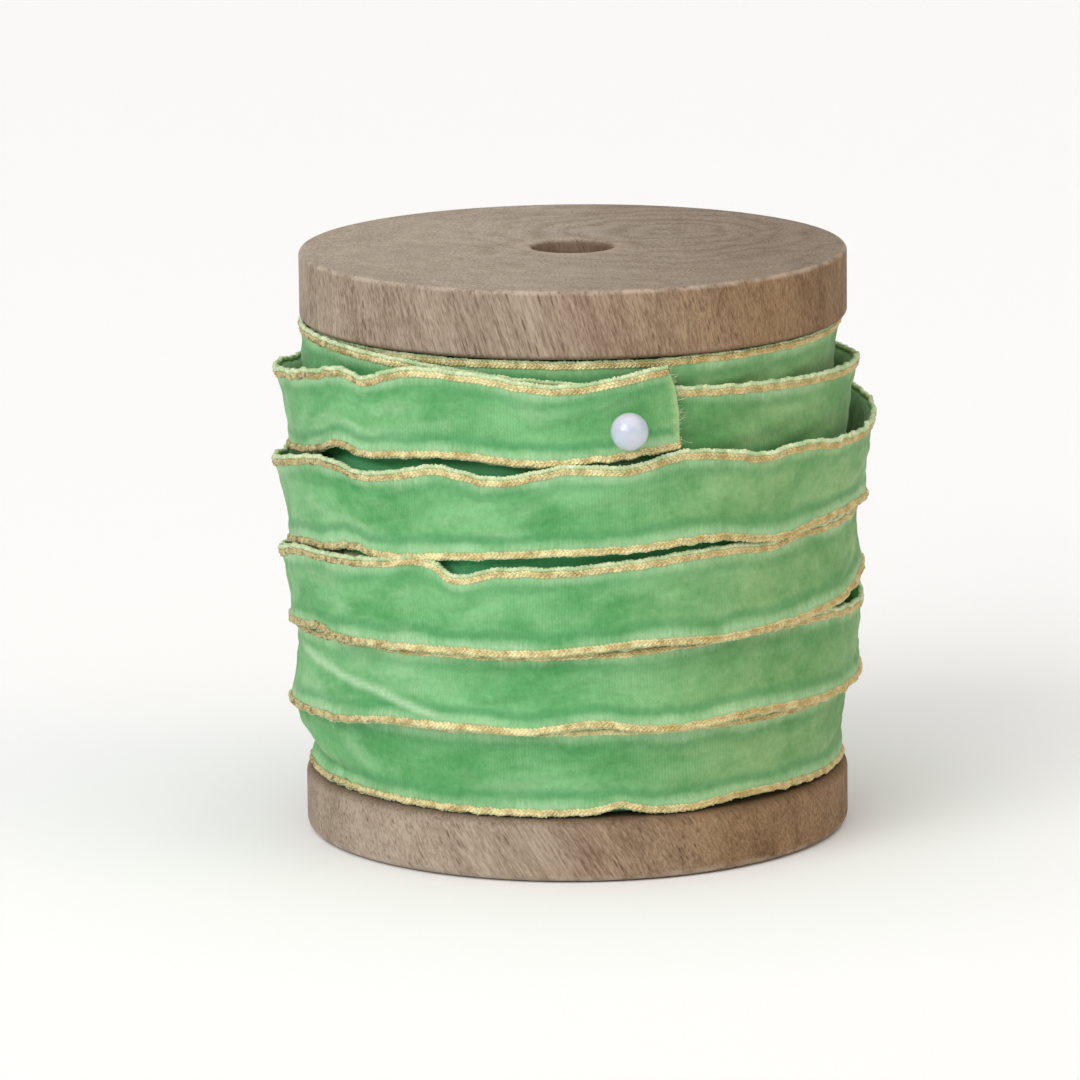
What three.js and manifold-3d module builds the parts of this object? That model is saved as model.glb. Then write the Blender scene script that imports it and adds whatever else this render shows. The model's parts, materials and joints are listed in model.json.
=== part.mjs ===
// Ribbon spool: two turned wooden flanges on a bored barrel, wound with a velvet ribbon that has
// gold woven edges. The free end of the ribbon is held by a pearl-headed pin.
//
// Millimetres, +Z up. The origin is the centre of the base, on the spindle axis. The front is -Y.
// The ribbon is described by its turn angle in degrees: 0 at the front, 90 at the left, 180 at the
// back, 270 at the right, and so on down the spool, so one turn further is one turn lower.

import * as THREE from "three";
import { mergeVertices } from "three/addons/utils/BufferGeometryUtils.js";
import Module from "manifold-3d";

const wasm = await Module();
wasm.setup();

// Wooden spool
const SPOOL_HEIGHT = 95.25;
const FLANGE_RADIUS = 44.45;
const TOP_THICKNESS = 11;
const BASE_THICKNESS = 10.3;
const TOP_RIM_ROUND = 1;
const BASE_RIM_ROUND = 1.6;
const BORE_RADIUS = 6.5;
const BORE_CHAMFER = 0.5;
const BARREL_RADIUS = 19;
const SPIGOT_RADIUS = 13;
const SPIGOT_LENGTH = 5;
const GLUE_GAP = 0.1;
const BASE_TOP = BASE_THICKNESS;
const LID_UNDERSIDE = SPOOL_HEIGHT - TOP_THICKNESS;

// Ribbon
const RIBBON_WIDTH = 14.2;
const WEB_THICKNESS = 1;
const EDGE_CORD_RADIUS = 0.62;
const WEB_WIDTH = RIBBON_WIDTH - 4 * EDGE_CORD_RADIUS - 0.2;
const CORD_OFFSET = RIBBON_WIDTH / 2 - EDGE_CORD_RADIUS;
const FLANGE_GAP = 0.3;

// Layers of the winding, from the barrel outwards
const TAPE_THICKNESS = 0.25;
const TAPE_HEIGHT = 20;
const TAPE_ANGLE = 60;
const INNER_LAYERS_BORE = BARREL_RADIUS + 0.6;
const INNER_RADIUS_LOW = 41.2;
const INNER_RADIUS_MIDDLE = 42;
const INNER_RADIUS_TOP = 40.3;
const SECOND_LAYER_RADIUS = 43.6;
const THIRD_LAYER_RADIUS = 41.3;
const THIRD_LAYER_Z = LID_UNDERSIDE - FLANGE_GAP - RIBBON_WIDTH / 2;
const THIRD_START = 95.4;
const THIRD_SETTLED = 132;
const THIRD_END = 440;

// Outer layer, one station for each quarter turn from -90 degrees: the height of the ribbon's middle,
// and the radii of its upper and lower edges, which flare where the ribbon stands away from the pack.
// Its far end tucks under the turn above.
const STATION_STEP = 90;
const FIRST_STATION = -90;
const OUTER_STATIONS = [
  { z: 77.0, top: 45.6, low: 45.9 },
  { z: 74.7, top: 45.7, low: 46.0 },
  { z: 69.8, top: 48.2, low: 46.2 },
  { z: 65.2, top: 50.2, low: 47.2 },
  { z: 60.9, top: 48.6, low: 47.2 },
  { z: 60.3, top: 46.8, low: 47.1 },
  { z: 54.3, top: 48.7, low: 46.2 },
  { z: 50.7, top: 46.8, low: 46.2 },
  { z: 47.3, top: 45.7, low: 46.3 },
  { z: 44.6, top: 46.6, low: 47.1 },
  { z: 40.5, top: 47.8, low: 46.4 },
  { z: 35.9, top: 46.5, low: 46.8 },
  { z: 32.8, top: 45.2, low: 46.0 },
  { z: 31.9, top: 45.3, low: 46.6 },
  { z: 28.6, top: 44.7, low: 46.0 },
  { z: 24.0, top: 45.1, low: 45.4 },
  { z: 18.2, top: 44.5, low: 42.7 },
  { z: 18.0, top: 44.4, low: 43.0 },
  { z: 17.8, top: 44.3, low: 42.3 },
  { z: 18.6, top: 43.4, low: 42.2 },
  { z: 20.9, top: 43.1, low: 42.2 },
];

// Second layer, one height of the ribbon's middle for each quarter turn from -990 degrees up to 90.
const SECOND_STATIONS = [30, 33.4, 36.9, 40.6, 44.4, 48, 51.7, 55.3, 59, 64.8, 69.7, 73.3, 76.75, 76.75];
const SECOND_FIRST_STATION = -990;
const SECOND_START = -840;
const SECOND_END = 95;
const CUT_END = -20;
const TAIL_ROOT = 62;
const TAIL_GAP = 0.4;
const OUTER_END = 1680;
const HINGE_RADIUS = 48.8;

// Pearl-headed pin
const PEARL_RADIUS = 3;
const PEARL_TURN = -10.1;
const PEARL_CENTRE_RADIUS = 49.5;
const PEARL_Z = 73.7;
const SHANK_RADIUS = 0.4;
const SHANK_LENGTH = 38;
const SHANK_POINT = 3;
const SHANK_IN_PEARL = 2;
const PIN_CLEARANCE = 0.35;
const PIN_SLOT = 1.3;

// Facets
const ROUND_SEGMENTS = 48;
const STEPS_PER_TURN = 30;
const CORD_SIDES = 5;

const wood = new THREE.MeshStandardMaterial({ color: 0x9c8570, roughness: 0.75, metalness: 0 });
const barrelWood = new THREE.MeshStandardMaterial({ color: 0x94775c, roughness: 0.8, metalness: 0 });
const velvet = new THREE.MeshStandardMaterial({ color: 0x63b06d, roughness: 0.9, metalness: 0 });
const gold = new THREE.MeshStandardMaterial({ color: 0xd3b35c, roughness: 0.4, metalness: 0.7 });
const paper = new THREE.MeshStandardMaterial({ color: 0xd8cba6, roughness: 0.8, metalness: 0 });
const pearl = new THREE.MeshStandardMaterial({ color: 0xdfe0ec, roughness: 0.2, metalness: 0 });
const steel = new THREE.MeshStandardMaterial({ color: 0xb9bcc0, roughness: 0.3, metalness: 1 });

const spool = new THREE.Group();

function addMesh(name, geometry, material, parent = spool) {
  const mesh = new THREE.Mesh(geometry, material);
  mesh.name = name;
  parent.add(mesh);
  return mesh;
}

// A solid of revolution about Z from [radius, height] pairs.
function turned(profile, segments = ROUND_SEGMENTS) {
  const points = profile.map(([radius, height]) => new THREE.Vector2(radius, height));
  return new THREE.LatheGeometry(points, segments).rotateX(Math.PI / 2);
}

// Points of a round corner in a profile, from one angle to another in degrees.
function corner(radius, height, round, from, to, steps = 3) {
  return Array.from({ length: steps + 1 }, (_, i) => {
    const angle = THREE.MathUtils.degToRad(from + ((to - from) * i) / steps);
    return [radius + round * Math.cos(angle), height + round * Math.sin(angle)];
  });
}

function toSolid(geometry) {
  const bare = new THREE.BufferGeometry().setAttribute("position", geometry.getAttribute("position"));
  bare.setIndex(geometry.getIndex());
  const merged = mergeVertices(bare, 1e-4);
  return new wasm.Manifold(
    new wasm.Mesh({
      numProp: 3,
      vertProperties: merged.attributes.position.array,
      triVerts: new Uint32Array(merged.index.array),
    }),
  );
}

function subtract(geometry, tool) {
  const mesh = toSolid(geometry).subtract(toSolid(tool)).getMesh();
  const cut = new THREE.BufferGeometry();
  cut.setAttribute("position", new THREE.BufferAttribute(mesh.vertProperties, 3));
  cut.setIndex(new THREE.BufferAttribute(mesh.triVerts, 1));
  cut.computeVertexNormals();
  return cut;
}

// Flange, outer face down at height 0 and counterbored from above for the barrel's spigot.
function flange(thickness, rimRound) {
  const socket = SPIGOT_RADIUS + GLUE_GAP;
  const floor = thickness - SPIGOT_LENGTH - GLUE_GAP;
  const rim = FLANGE_RADIUS - rimRound;
  return turned([
    [BORE_RADIUS, BORE_CHAMFER],
    [BORE_RADIUS + BORE_CHAMFER, 0],
    ...corner(rim, rimRound, rimRound, -90, 0),
    ...corner(rim, thickness - rimRound, rimRound, 0, 90),
    [socket, thickness],
    [socket, floor],
    [BORE_RADIUS, floor],
    [BORE_RADIUS, BORE_CHAMFER],
  ]);
}

// Barrel with a turned spigot at each end, bored through for a spindle.
function barrel() {
  const low = BASE_TOP - SPIGOT_LENGTH;
  const high = LID_UNDERSIDE + SPIGOT_LENGTH;
  return turned([
    [BORE_RADIUS, low],
    [SPIGOT_RADIUS, low],
    [SPIGOT_RADIUS, BASE_TOP],
    [BARREL_RADIUS, BASE_TOP],
    [BARREL_RADIUS, LID_UNDERSIDE],
    [SPIGOT_RADIUS, LID_UNDERSIDE],
    [SPIGOT_RADIUS, high],
    [BORE_RADIUS, high],
    [BORE_RADIUS, low],
  ]);
}

// Everything wound between the barrel and the layers that show, as one stepped ring.
function innerLayers() {
  const low = BASE_TOP + FLANGE_GAP;
  const high = LID_UNDERSIDE - FLANGE_GAP;
  const topStep = THIRD_LAYER_Z - RIBBON_WIDTH / 2 - FLANGE_GAP;
  const lowStep = 26;
  return turned([
    [INNER_LAYERS_BORE, low],
    [INNER_RADIUS_LOW, low],
    [INNER_RADIUS_LOW, lowStep],
    [INNER_RADIUS_MIDDLE, lowStep],
    [INNER_RADIUS_MIDDLE, topStep],
    [INNER_RADIUS_TOP, topStep],
    [INNER_RADIUS_TOP, high],
    [INNER_LAYERS_BORE, high],
    [INNER_LAYERS_BORE, low],
  ]);
}

// Where the ribbon runs: each path gives the middle's height and the two edges' radii at a turn angle.
const outerCurve = new THREE.CatmullRomCurve3(
  OUTER_STATIONS.map(({ z, top, low }) => new THREE.Vector3(z, top, low)),
  false,
  "catmullrom",
);

function outerPath(turn) {
  const span = STATION_STEP * (OUTER_STATIONS.length - 1);
  const { x, y, z } = outerCurve.getPoint((turn - FIRST_STATION) / span);
  return { z: x, top: y, low: z };
}

// The second layer climbs as the turn angle grows, up to the upper flange at the left.
const secondCurve = new THREE.CatmullRomCurve3(
  SECOND_STATIONS.map((z) => new THREE.Vector3(z, 0, 0)),
  false,
  "catmullrom",
);

function secondPath(turn) {
  const span = STATION_STEP * (SECOND_STATIONS.length - 1);
  const z = secondCurve.getPoint((turn - SECOND_FIRST_STATION) / span).x;
  return { z, top: SECOND_LAYER_RADIUS, low: SECOND_LAYER_RADIUS };
}

// The third layer lies level against the upper flange. It leaves from the end of the second layer and
// drops to its own radius, so that it passes under the second layer when it comes round.
function thirdPath(turn) {
  const settled = THREE.MathUtils.smoothstep(turn, THIRD_START, THIRD_SETTLED);
  const radius = THREE.MathUtils.lerp(SECOND_LAYER_RADIUS, THIRD_LAYER_RADIUS, settled);
  return { z: THIRD_LAYER_Z, top: radius, low: radius };
}

// Bends a straight strip around the winding: x runs along the ribbon from turn angle `from` to `to`,
// y is outwards from its middle surface and z is across its width.
function wind(geometry, path, from, to) {
  geometry.computeBoundingBox();
  const { min, max } = geometry.boundingBox;
  const position = geometry.getAttribute("position");
  for (let i = 0; i < position.count; i++) {
    const turn = from + ((to - from) * (position.getX(i) - min.x)) / (max.x - min.x);
    const across = position.getZ(i);
    const { z, top, low } = path(turn);
    const radius = low + (top - low) * (across / RIBBON_WIDTH + 0.5) + position.getY(i);
    const angle = THREE.MathUtils.degToRad(turn);
    position.setXYZ(i, -radius * Math.sin(angle), -radius * Math.cos(angle), z + across);
  }
  return geometry;
}

const stepsBetween = (from, to) => Math.ceil((Math.abs(to - from) / 360) * STEPS_PER_TURN);

function web(path, from, to) {
  const strip = new THREE.BoxGeometry(100, WEB_THICKNESS, WEB_WIDTH, stepsBetween(from, to), 1, 1);
  return wind(strip, path, from, to);
}

function edgeCord(path, from, to, side) {
  const radius = EDGE_CORD_RADIUS;
  const cord = new THREE.CylinderGeometry(radius, radius, 100, CORD_SIDES, stepsBetween(from, to));
  cord.rotateZ(-Math.PI / 2).translate(0, 0, side * CORD_OFFSET);
  return wind(cord, path, from, to);
}

// Pin: it leaves along a line square to the arm from the tail's root to the pearl, so that the
// lifting tail slides straight along the shank.
const onWinding = (turn, radius, z) => {
  const angle = THREE.MathUtils.degToRad(turn);
  return new THREE.Vector3(-radius * Math.sin(angle), -radius * Math.cos(angle), z);
};
const hinge = onWinding(TAIL_ROOT, HINGE_RADIUS, PEARL_Z);
const pearlCentre = onWinding(PEARL_TURN, PEARL_CENTRE_RADIUS, PEARL_Z);
const arm = pearlCentre.clone().sub(hinge).normalize();
const pinOut = new THREE.Vector3(arm.y, -arm.x, 0);

const pin = new THREE.Group();
pin.position.copy(pearlCentre);
pin.quaternion.setFromUnitVectors(new THREE.Vector3(0, 0, 1), pinOut);

function pearlBead() {
  const hole = SHANK_RADIUS + GLUE_GAP;
  const mouth = -Math.sqrt(PEARL_RADIUS ** 2 - hole ** 2);
  const mouthAngle = THREE.MathUtils.radToDeg(Math.atan2(mouth, hole));
  return turned(
    [
      [0, -PEARL_RADIUS + SHANK_IN_PEARL + GLUE_GAP],
      [hole, -PEARL_RADIUS + SHANK_IN_PEARL + GLUE_GAP],
      ...corner(0, 0, PEARL_RADIUS, mouthAngle, 90, 9).slice(0, -1),
      [0, PEARL_RADIUS],
    ],
    16,
  );
}

function shank() {
  const end = -PEARL_RADIUS + SHANK_IN_PEARL;
  return turned(
    [
      [0, -SHANK_LENGTH],
      [SHANK_RADIUS, -SHANK_LENGTH + SHANK_POINT],
      [SHANK_RADIUS, end],
      [0, end],
    ],
    8,
  );
}

// Room for the shank: a round hole, stretched along the ribbon by `slot` where the ribbon lifts off it.
function pinHole(slot = 0) {
  const radius = SHANK_RADIUS + PIN_CLEARANCE;
  const outline = new THREE.Shape()
    .absarc(0, slot, radius, 0, Math.PI, false)
    .absarc(0, 0, radius, Math.PI, 2 * Math.PI, false);
  const depth = SHANK_LENGTH + PIN_CLEARANCE;
  const hole = new THREE.ExtrudeGeometry(outline, { depth, steps: 1, curveSegments: 4, bevelEnabled: false });
  const frame = new THREE.Matrix4().makeBasis(new THREE.Vector3(0, 0, -1), arm, pinOut);
  return hole.translate(0, 0, -depth).applyMatrix4(frame.setPosition(pearlCentre));
}

addMesh("bottom_flange", flange(BASE_THICKNESS, BASE_RIM_ROUND), wood);
const topFlange = flange(TOP_THICKNESS, TOP_RIM_ROUND).rotateX(Math.PI).translate(0, 0, SPOOL_HEIGHT);
addMesh("top_flange", topFlange, wood);
addMesh("barrel", barrel(), barrelWood);

const tape = new THREE.BoxGeometry(100, TAPE_THICKNESS, TAPE_HEIGHT, 6, 1, 1);
const tapeRadius = BARREL_RADIUS + 0.1 + TAPE_THICKNESS / 2;
const tapePath = () => ({ z: SPOOL_HEIGHT / 2, top: tapeRadius, low: tapeRadius });
addMesh("starting_tape", wind(tape, tapePath, 0, TAPE_ANGLE), paper);

addMesh("inner_layers", subtract(innerLayers(), pinHole()), velvet);

for (const [layer, path, from, to] of [
  ["third_layer", thirdPath, THIRD_START, THIRD_END],
  ["second_layer", secondPath, SECOND_START, SECOND_END],
]) {
  addMesh(`${layer}_velvet`, subtract(web(path, from, to), pinHole()), velvet);
  addMesh(`${layer}_upper_edge`, edgeCord(path, from, to, 1), gold);
  addMesh(`${layer}_lower_edge`, edgeCord(path, from, to, -1), gold);
}

addMesh("outer_layer_velvet", web(outerPath, TAIL_ROOT + TAIL_GAP, OUTER_END), velvet);
addMesh("outer_layer_upper_edge", edgeCord(outerPath, TAIL_ROOT + TAIL_GAP, OUTER_END, 1), gold);
addMesh("outer_layer_lower_edge", edgeCord(outerPath, TAIL_ROOT + TAIL_GAP, OUTER_END, -1), gold);

addMesh("tail_velvet", subtract(web(outerPath, CUT_END, TAIL_ROOT), pinHole(PIN_SLOT)), velvet);
addMesh("tail_upper_edge", edgeCord(outerPath, CUT_END, TAIL_ROOT, 1), gold);
addMesh("tail_lower_edge", edgeCord(outerPath, CUT_END, TAIL_ROOT, -1), gold);

addMesh("pearl_bead", pearlBead(), pearl, pin);
addMesh("pin_shank", shank(), steel, pin);
spool.add(pin);

export default spool;
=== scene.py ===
"""Ribbon spool: a bare hardwood spool wound with green velvet ribbon that has braided gold edges. The
ribbon's free end is held by a pearl-headed pin.

Lengths are millimetres until a mesh is made, which turns them into metres. A place on the ribbon is
given by its turn angle in degrees: 0 at the front, 90 at the left, 180 at the back, 270 at the right, and
360 at the front again, one turn lower. Across the ribbon, -1 is its lower edge and 1 its upper edge.
"""

import json
import math

import bpy
import numpy as np
from mathutils import Euler, Matrix, Vector


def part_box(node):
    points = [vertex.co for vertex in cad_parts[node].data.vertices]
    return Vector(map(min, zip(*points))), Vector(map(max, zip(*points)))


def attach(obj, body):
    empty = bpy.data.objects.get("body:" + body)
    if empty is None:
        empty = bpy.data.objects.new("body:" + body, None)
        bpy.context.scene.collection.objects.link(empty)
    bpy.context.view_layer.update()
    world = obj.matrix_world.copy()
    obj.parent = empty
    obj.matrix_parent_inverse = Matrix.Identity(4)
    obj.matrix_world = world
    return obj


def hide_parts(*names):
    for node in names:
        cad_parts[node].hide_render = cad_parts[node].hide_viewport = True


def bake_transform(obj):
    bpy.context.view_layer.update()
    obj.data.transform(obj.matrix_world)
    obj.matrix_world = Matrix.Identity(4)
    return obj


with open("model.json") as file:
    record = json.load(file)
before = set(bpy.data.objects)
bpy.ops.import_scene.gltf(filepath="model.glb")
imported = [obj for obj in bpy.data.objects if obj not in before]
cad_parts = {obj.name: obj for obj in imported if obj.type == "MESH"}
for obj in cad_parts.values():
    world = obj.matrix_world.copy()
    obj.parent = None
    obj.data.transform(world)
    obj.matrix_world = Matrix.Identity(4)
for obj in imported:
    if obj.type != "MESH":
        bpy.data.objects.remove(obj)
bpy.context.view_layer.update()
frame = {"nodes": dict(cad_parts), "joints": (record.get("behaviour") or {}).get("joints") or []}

MM = 0.001
TAU = 2 * math.pi


def corners_mm(node):
    """The lowest and highest corners of a CAD node, in millimetres."""
    low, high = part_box(node)
    return np.array(low) / MM, np.array(high) / MM


SPOOL_LOW, SPOOL_HIGH = corners_mm("bottom_flange")[0], corners_mm("top_flange")[1]
FLANGE_RADIUS = SPOOL_HIGH[0]
SPOOL_HEIGHT = SPOOL_HIGH[2]
LID_UNDERSIDE = corners_mm("top_flange")[0][2]
BASE_TOP = corners_mm("bottom_flange")[1][2]
BARREL_LOW, BARREL_HIGH = corners_mm("barrel")
BORE_RADIUS = 6.5
PEARL_LOW, PEARL_HIGH = corners_mm("pearl_bead")
PEARL_CENTRE = (PEARL_LOW + PEARL_HIGH) / 2
PEARL_RADIUS = (PEARL_HIGH[2] - PEARL_LOW[2]) / 2
PEARL_FOOT = PEARL_CENTRE * [0.92, 0.92, 1]  # on the ribbon, under the pearl

# The ribbon, with the turn angles where its strips start and end
CUT_TURN, TAIL_ROOT_TURN, OUTER_END_TURN = -21.2, 62, 1680
SECOND_START_TURN, SECOND_END_TURN, THIRD_END_TURN = -930, 95, 440
CUT_SLANT = 2.4  # degrees of turn that the cut end leans back at its upper corner
EDGE_HALF_WIDTH = 6.45
WEB_THICKNESS = 0.85
STITCH_LENGTH = 0.72
TURN_PITCH = 13.6  # the height that one turn takes up
WINDING_RADIUS = 46
OUTER_SAG, INNER_SAG = 0.55, 0.35  # how far the middle of a strip is pulled in
INNER_SEED = 21
SECOND_PATTERN_START = 431  # where the second layer comes in the velvet's pattern


# -------------------------------- meshes


def grid_faces(rows, columns, wrap_rows=False, wrap_columns=False, start=0):
    """Quads of a grid of points stored row by row, closed on itself where it wraps."""
    r = np.arange(rows if wrap_rows else rows - 1)[:, None]
    c = np.arange(columns if wrap_columns else columns - 1)[None, :]
    r2, c2 = (r + 1) % rows, (c + 1) % columns
    quads = np.stack([r * columns + c, r2 * columns + c, r2 * columns + c2, r * columns + c2], axis=-1)
    return quads.reshape(-1, 4) + start


def placed(name, data):
    """An object in the scene, made of a mesh, a camera or a light."""
    thing = bpy.data.objects.new(name, data)
    bpy.context.scene.collection.objects.link(thing)
    return thing


def make_piece(name, points, faces, material, uv=None, attributes=None, flat=()):
    """A smooth-shaded piece from points in millimetres. uv holds one pair for each point, and flat lists
    the faces that stay flat, such as cut ends."""
    mesh = bpy.data.meshes.new(name)
    mesh.from_pydata((np.asarray(points).reshape(-1, 3) * MM).tolist(), [], [list(f) for f in faces])
    smooth = np.ones(len(mesh.polygons), dtype=bool)
    smooth[list(flat)] = False
    mesh.polygons.foreach_set("use_smooth", smooth)
    if uv is not None:
        corner = np.empty(len(mesh.loops), dtype=np.int64)
        mesh.loops.foreach_get("vertex_index", corner)
        layer = mesh.uv_layers.new(name="along_and_across")
        layer.data.foreach_set("uv", np.asarray(uv).reshape(-1, 2)[corner].astype(np.float32).ravel())
    for key, values in (attributes or {}).items():
        layer = mesh.attributes.new(key, "FLOAT", "POINT")
        layer.data.foreach_set("value", np.asarray(values, dtype=np.float32).ravel())
    mesh.materials.append(material)
    mesh.update()
    return placed(name, mesh)


def turned(name, profile, material, segments, wobble=0.0, marks=None, uv=None):
    """A turned piece: each profile point (radius, height) goes round the axis, and outside the barrel the
    radius swells and shrinks by wobble in two slow waves. A profile that starts and ends on one point closes
    on itself. marks gives named values, and uv a place across the ribbon, for each profile point."""
    radius, height = np.array(profile[:-1], dtype=float).T
    count = len(radius)
    angle = np.arange(segments) * TAU / segments
    swell = 1 + wobble / FLANGE_RADIUS * (np.sin(2 * angle + 0.7) + 0.5 * np.sin(5 * angle + 2.1))
    r = radius[:, None] * np.where(radius[:, None] > 20, swell, 1.0)
    points = np.stack(
        [r * np.cos(angle), r * np.sin(angle), np.broadcast_to(height[:, None], r.shape)], axis=-1
    )
    faces = grid_faces(count, segments, wrap_rows=True, wrap_columns=True)[:, ::-1]
    named = {key: np.repeat(np.array(v, dtype=float)[:count], segments) for key, v in (marks or {}).items()}
    pairs = None
    if uv is not None:
        along = angle[None, :] * 4.2 + 60
        pairs = np.stack(np.broadcast_arrays(along, uv[:count, None]), -1)
    return make_piece(name, points, faces, material, uv=pairs, attributes=named)


def arc(centre, radius, first, last, steps):
    """Points of a round corner in a profile, from one angle to another in degrees."""
    angle = np.radians(np.linspace(first, last, steps + 1))
    return np.stack([centre[0] + radius * np.cos(angle), centre[1] + radius * np.sin(angle)], axis=-1)


def stand_in(piece, node, body):
    """The piece takes a CAD node's place, and moves with a body."""
    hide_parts(node)
    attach(piece, body)


# -------------------------------- shader helpers

tree = None  # the node tree that nodes are added to, set by new_group and new_material


def add(kind, values=None, **settings):
    """A shader node. Each value is a number, a colour or another node's output."""
    node = tree.nodes.new("ShaderNode" + kind)
    for key, value in settings.items():
        setattr(node, key, value)
    for key, value in (values or {}).items():
        if isinstance(value, bpy.types.NodeSocket):
            tree.links.new(value, node.inputs[key])
        else:
            node.inputs[key].default_value = value
    return node


def calc(operation, *values, clamp=False):
    """A Math node's value."""
    return add("Math", dict(enumerate(values)), operation=operation, use_clamp=clamp).outputs[0]


def times(a, b):
    """a times b."""
    return calc("MULTIPLY", a, b)


def times_plus(a, b, c, clamp=False):
    """a times b, plus c."""
    return calc("MULTIPLY_ADD", a, b, c, clamp=clamp)


def step(value, low, high, to_low=0.0, to_high=1.0):
    """A soft step: to_low under low, to_high over high, smooth between."""
    node = add(
        "MapRange",
        {"Value": value, "From Min": low, "From Max": high, "To Min": to_low, "To Max": to_high},
        interpolation_type="SMOOTHSTEP",
    )
    return node.outputs["Result"]


def mix(share, first, second, mode="MIX"):
    """The two colours mixed, second over first."""
    node = add("Mix", {0: share, 6: first, 7: second}, data_type="RGBA", blend_type=mode)
    return node.outputs[2]


def noise(at, scale, detail=2.0, roughness=0.5, distortion=0.0):
    """Noise from 0 to 1, with a mean near a half."""
    node = add(
        "TexNoise",
        {"Vector": at, "Scale": scale, "Detail": detail, "Roughness": roughness, "Distortion": distortion},
    )
    return node.outputs["Fac"]


def scaled(at, scale, turn=(0, 0, 0), shift=(0, 0, 0)):
    """Coordinates shifted, turned and scaled."""
    node = add("Mapping", {"Vector": at, "Location": shift, "Rotation": turn, "Scale": scale})
    return node.outputs[0]


def new_group(name, inputs, outputs):
    """Starts a node group with named sockets. Returns it, its input node and its output node."""
    global tree
    tree = bpy.data.node_groups.new(name, "ShaderNodeTree")
    for label, (kind, value) in inputs.items():
        socket = tree.interface.new_socket(label, in_out="INPUT", socket_type="NodeSocket" + kind)
        if value is not None:
            socket.default_value = value
    for label, kind in outputs.items():
        tree.interface.new_socket(label, in_out="OUTPUT", socket_type="NodeSocket" + kind)
    return tree, tree.nodes.new("NodeGroupInput"), tree.nodes.new("NodeGroupOutput")


def new_material(name, **constants):
    """Starts a material with one Principled shader and its constant sockets. Returns both."""
    global tree
    material = bpy.data.materials.new(name)
    material.use_nodes = True
    tree = material.node_tree
    tree.nodes.clear()
    out, shader = add("OutputMaterial"), add("BsdfPrincipled")
    for key, value in constants.items():
        shader.inputs[key.replace("_", " ")].default_value = value
    tree.links.new(shader.outputs[0], out.inputs["Surface"])
    return material, shader


def rgb(r, g, b):
    """An sRGB colour from 0 to 255 as the linear colour that sockets hold."""
    c = np.array([r, g, b]) / 255
    linear = np.where(c <= 0.04045, c / 12.92, ((c + 0.055) / 1.055) ** 2.4)
    return (*linear.tolist(), 1.0)


def object_at():
    """A place on the object, in metres."""
    return add("TexCoord").outputs["Object"]


def to_the_right():
    """How far to the right of the axis, in metres."""
    return add("SeparateXYZ", {"Vector": object_at()}).outputs["X"]


def ribbon_at():
    """A place on the ribbon, in centimetres along it and across it from its middle."""
    return add("UVMap", uv_map="along_and_across").outputs[0]


def ribbon_noise(at, scale, shift=(0, 0), **more):
    """Noise on the ribbon, with its own scale along and across."""
    return noise(scaled(at, (*scale, 1), shift=(*shift, 0)), 1.0, **more)


def marked(name):
    """A value marked on the mesh, from 0 to 1."""
    return add("Attribute", attribute_name=name).outputs["Fac"]


def finish(shader, colour, height, strength, distance, roughness=None):
    """A finish's colour, bumps and roughness, joined to its shader."""
    tree.links.new(colour, shader.inputs["Base Color"])
    if roughness is not None:
        tree.links.new(roughness, shader.inputs["Roughness"])
    bump = add("Bump", {"Height": height, "Strength": strength, "Distance": distance})
    tree.links.new(bump.outputs[0], shader.inputs["Normal"])


# -------------------------------- shared effects


def fibre_fuzz():
    """Fine fibres: small clumps and hairs finer than they are long. It puts out a colour and a height."""
    group, inside, outside = new_group(
        "fibre_fuzz",
        {"Vector": ("Vector", None), "Scale": ("Float", 1.0), "Stretch": ("Float", 1.0),
         "Colour": ("Color", (0.5, 0.5, 0.5, 1)), "Contrast": ("Float", 0.2)},
        {"Colour": "Color", "Height": "Float"},
    )
    given = inside.outputs
    stretch = add("CombineXYZ", {"X": 1.0, "Y": given["Stretch"], "Z": 1.0}).outputs[0]
    at = add("VectorMath", {0: given["Vector"], 1: stretch}, operation="MULTIPLY").outputs[0]
    fine = noise(at, given["Scale"], detail=3.0, roughness=0.65)
    coarse = noise(at, times(given["Scale"], 0.32), detail=1.0)
    both = times_plus(fine, 0.6, times(coarse, 0.4))
    amount = times(calc("SUBTRACT", both, 0.5), given["Contrast"])
    gain = times_plus(amount, 4.0, 1.0)
    white = add("CombineColor", {0: gain, 1: gain, 2: gain}).outputs[0]
    tree.links.new(mix(1.0, given["Colour"], white, "MULTIPLY"), outside.inputs["Colour"])
    tree.links.new(both, outside.inputs["Height"])
    return group


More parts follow.
